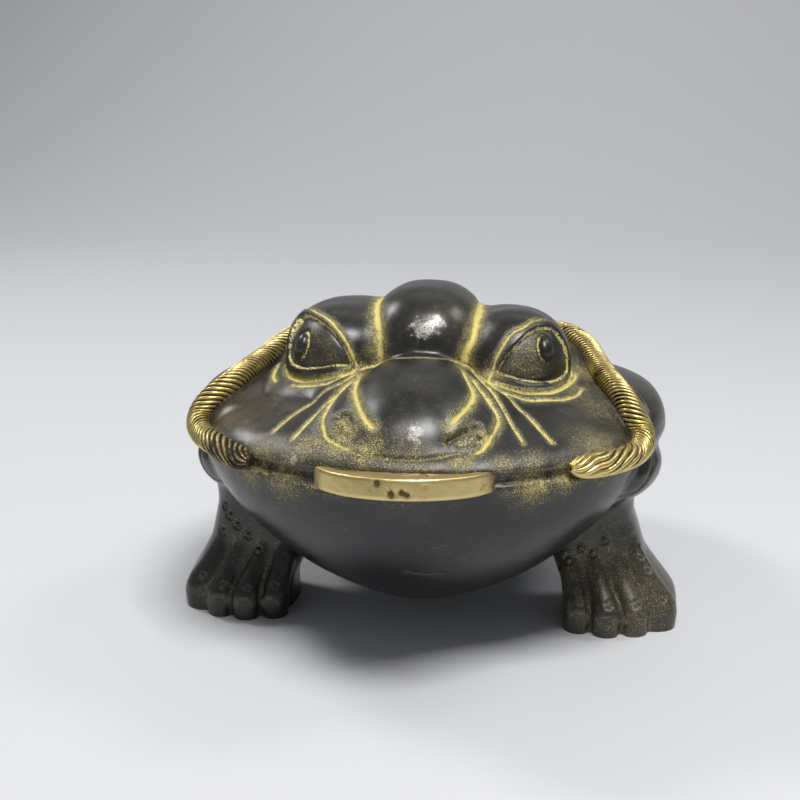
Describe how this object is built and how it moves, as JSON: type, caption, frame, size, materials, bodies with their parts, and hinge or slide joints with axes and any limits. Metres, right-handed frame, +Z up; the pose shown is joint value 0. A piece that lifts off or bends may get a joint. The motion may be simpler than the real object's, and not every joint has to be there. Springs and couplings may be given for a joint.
{
  "type": "money toad figure",
  "caption": "Cast bronze three-legged money toad on flat soles, with a twisted rope round its cheeks and over its neck and a square-holed cash coin held in its mouth.",
  "frame": {"origin": "on the floor, under the middle of the whole figure", "axes": "+Z up, the toad looks along -Y, its left side is +X"},
  "size_m": [0.11, 0.129, 0.0725],
  "materials": {
    "dark_patina": "near-black polished bronze patina, dull olive-grey below, with gold left in the recesses",
    "gilding": "worn gilding with dark grime between the strands",
    "coin_brass": "dull yellow brass with dark pits and brown stains"
  },
  "bodies": {
    "root": {"toad": "dark_patina", "coin": "coin_brass"}
  },
  "joints": []
}
